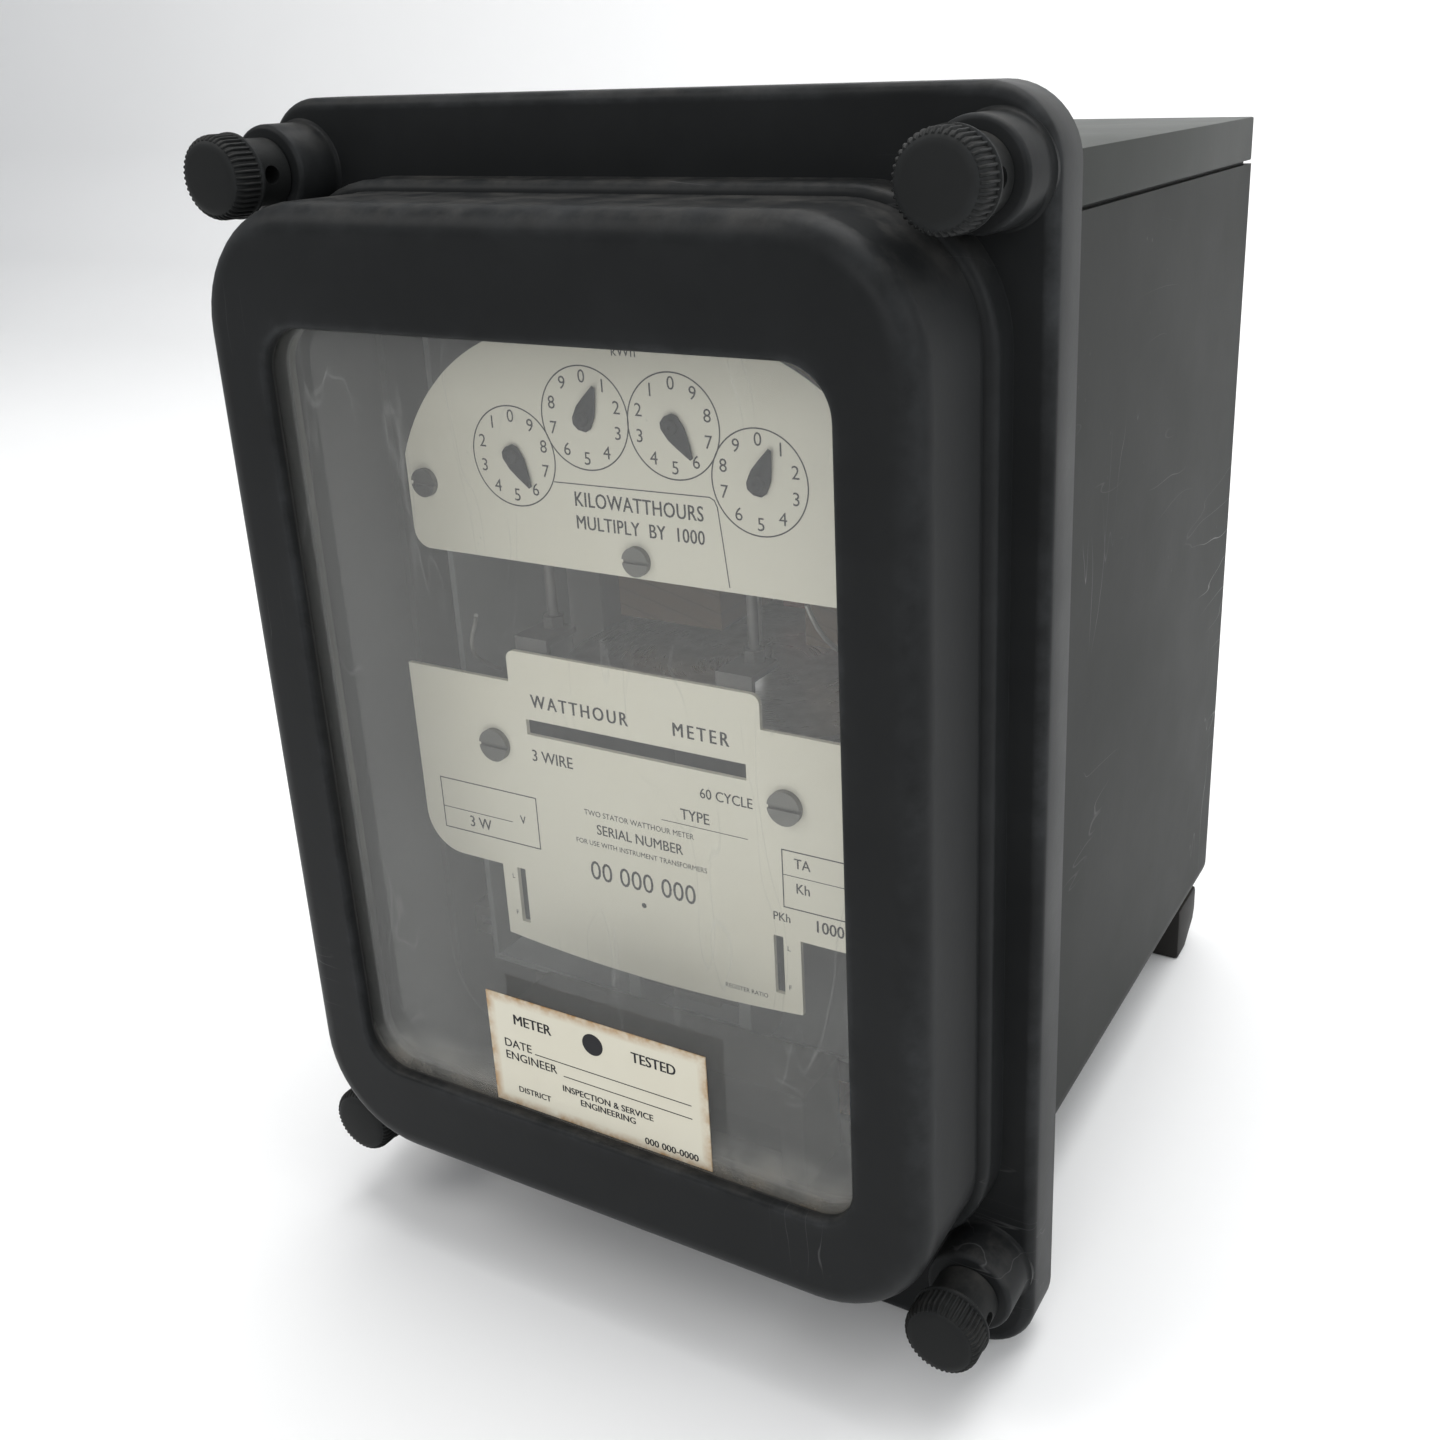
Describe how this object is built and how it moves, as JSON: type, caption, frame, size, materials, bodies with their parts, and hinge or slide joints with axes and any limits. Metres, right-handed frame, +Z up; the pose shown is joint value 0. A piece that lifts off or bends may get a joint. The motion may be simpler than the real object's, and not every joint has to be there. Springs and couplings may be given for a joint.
{
  "type": "switchboard watthour meter",
  "caption": "Dial electric meter in a drawout case: dark moulded cover with a window and corner thumb knobs, grey steel case behind the panel, disk meter on a sliding cradle.",
  "frame": {"origin": "middle of the footprint, on the surface the meter stands on", "axes": "+Z up, front of the meter towards -Y, +X to the right as seen from the front"},
  "size_m": [0.168, 0.2272, 0.249],
  "materials": {
    "cover_moulding": "semi-matt dark moulding with worn, paler edges",
    "knob_moulding": "semi-matt black moulding",
    "phenolic": "matt black moulding",
    "case_paint": "semi-matt grey enamel with light scratches",
    "frame_paint": "matt grey",
    "plate_paint": "satin cream enamel with black print",
    "pointer_paint": "matt dark grey",
    "glass": "clear, dusty",
    "rubber": "matt",
    "zinc": "zinc-plated",
    "brass": "dull",
    "copper": "dull copper",
    "coil_tape": "varnished tape",
    "laminations": "varnished laminations",
    "magnet": "painted casting",
    "aluminium": "spun",
    "paper": "aged paper"
  },
  "bodies": {
    "case": {"mounting_flange": "case_paint", "case_wrapper": "case_paint", "case_top_cap": "case_paint", "case_back_plate": "case_paint", "rear_feet": "phenolic", "cover_studs": "zinc", "case_contact_block": "phenolic", "contact_fingers": "copper", "lead_straps": "copper", "terminal_block": "phenolic", "terminal_studs": "brass", "terminal_nuts": "brass", "guide_rails": "zinc"},
    "cradle": {"cradle_frame": "frame_paint", "cradle_contact_block": "phenolic", "cradle_contacts": "copper", "meter_frame": "frame_paint", "upper_bearing": "brass", "lower_bearing": "brass", "brake_magnets": "magnet", "stator_core_left": "laminations", "stator_core_right": "laminations", "voltage_coil_left": "coil_tape", "voltage_coil_right": "coil_tape", "current_coil_left": "copper", "current_coil_right": "copper", "register_front_plate": "brass", "register_back_plate": "brass", "register_posts": "brass", "dial_plate": "plate_paint", "dial_plate_screws": "zinc", "nameplate_bracket": "zinc", "nameplate": "plate_paint", "nameplate_screws": "zinc"},
    "latch_top": {"latch_upper": "zinc"},
    "latch_bottom": {"latch_lower": "zinc"},
    "rotor": {"rotor_shaft": "zinc", "rotor_disk": "aluminium", "rotor_worm": "brass"},
    "idler": {"worm_wheel": "brass"},
    "units": {"units_spindle": "brass", "units_pointer": "pointer_paint"},
    "tens": {"tens_spindle": "brass", "tens_pointer": "pointer_paint"},
    "hundreds": {"hundreds_spindle": "brass", "hundreds_pointer": "pointer_paint"},
    "thousands": {"thousands_spindle": "brass", "thousands_pointer": "pointer_paint"},
    "plug": {"plug_body": "phenolic", "plug_blades": "copper"},
    "cover": {"cover_shell": "cover_moulding", "window_glass": "glass", "glass_gasket": "rubber", "glass_retainer": "zinc", "cover_gasket": "rubber", "inspection_label": "paper"},
    "knob_tl": {"knob_top_left": "knob_moulding"},
    "knob_tr": {"knob_top_right": "knob_moulding"},
    "knob_bl": {"knob_bottom_left": "knob_moulding"},
    "knob_br": {"knob_bottom_right": "knob_moulding"}
  },
  "joints": [
    {"name": "cradle_drawout", "type": "slide", "parent": "case", "child": "cradle", "axis": [0, -1, 0], "range_m": [0, 0.15]},
    {"name": "latch_upper_turn", "type": "hinge", "parent": "cradle", "child": "latch_top", "pos_m": [0, -0.0722, 0.221], "axis": [-1, 0, 0], "range_deg": [0, 75]},
    {"name": "latch_lower_turn", "type": "hinge", "parent": "cradle", "child": "latch_bottom", "pos_m": [0, -0.0722, 0.062], "axis": [1, 0, 0], "range_deg": [0, 75]},
    {"name": "disk_spin", "type": "hinge", "parent": "cradle", "child": "rotor", "pos_m": [0, -0.0382, 0.125], "axis": [0, 0, 1], "continuous": true},
    {"name": "worm_wheel_spin", "type": "hinge", "parent": "cradle", "child": "idler", "pos_m": [0.0145, -0.0702, 0.16614], "axis": [0, 1, 0], "continuous": true},
    {"name": "units_spin", "type": "hinge", "parent": "cradle", "child": "units", "pos_m": [0.0282, -0.0702, 0.181], "axis": [0, 1, 0], "continuous": true},
    {"name": "tens_spin", "type": "hinge", "parent": "cradle", "child": "tens", "pos_m": [0.0101, -0.0702, 0.19], "axis": [0, 1, 0], "continuous": true},
    {"name": "hundreds_spin", "type": "hinge", "parent": "cradle", "child": "hundreds", "pos_m": [-0.0101, -0.0702, 0.19], "axis": [0, 1, 0], "continuous": true},
    {"name": "thousands_spin", "type": "hinge", "parent": "cradle", "child": "thousands", "pos_m": [-0.0282, -0.0702, 0.181], "axis": [0, 1, 0], "continuous": true},
    {"name": "plug_pull", "type": "slide", "parent": "cradle", "child": "plug", "axis": [0, -1, 0], "range_m": [0, 0.035]},
    {"name": "cover_removal", "type": "slide", "parent": "plug", "child": "cover", "axis": [0, -1, 0], "range_m": [0, 0.08]},
    {"name": "knob_top_left_turn", "type": "hinge", "parent": "cover", "child": "knob_tl", "pos_m": [-0.0741, -0.0972, 0.2356], "axis": [0, 1, 0], "continuous": true},
    {"name": "knob_top_right_turn", "type": "hinge", "parent": "cover", "child": "knob_tr", "pos_m": [0.0741, -0.0972, 0.2356], "axis": [0, 1, 0], "continuous": true},
    {"name": "knob_bottom_left_turn", "type": "hinge", "parent": "cover", "child": "knob_bl", "pos_m": [-0.0741, -0.0972, 0.0222], "axis": [0, 1, 0], "continuous": true},
    {"name": "knob_bottom_right_turn", "type": "hinge", "parent": "cover", "child": "knob_br", "pos_m": [0.0741, -0.0972, 0.0222], "axis": [0, 1, 0], "continuous": true}
  ],
  "couplings": [
    {"joint": "worm_wheel_spin", "follows": "disk_spin", "ratio": -0.02},
    {"joint": "units_spin", "follows": "disk_spin", "ratio": 0.002},
    {"joint": "tens_spin", "follows": "disk_spin", "ratio": -0.0002},
    {"joint": "hundreds_spin", "follows": "disk_spin", "ratio": 0.00002},
    {"joint": "thousands_spin", "follows": "disk_spin", "ratio": -0.000002}
  ]
}
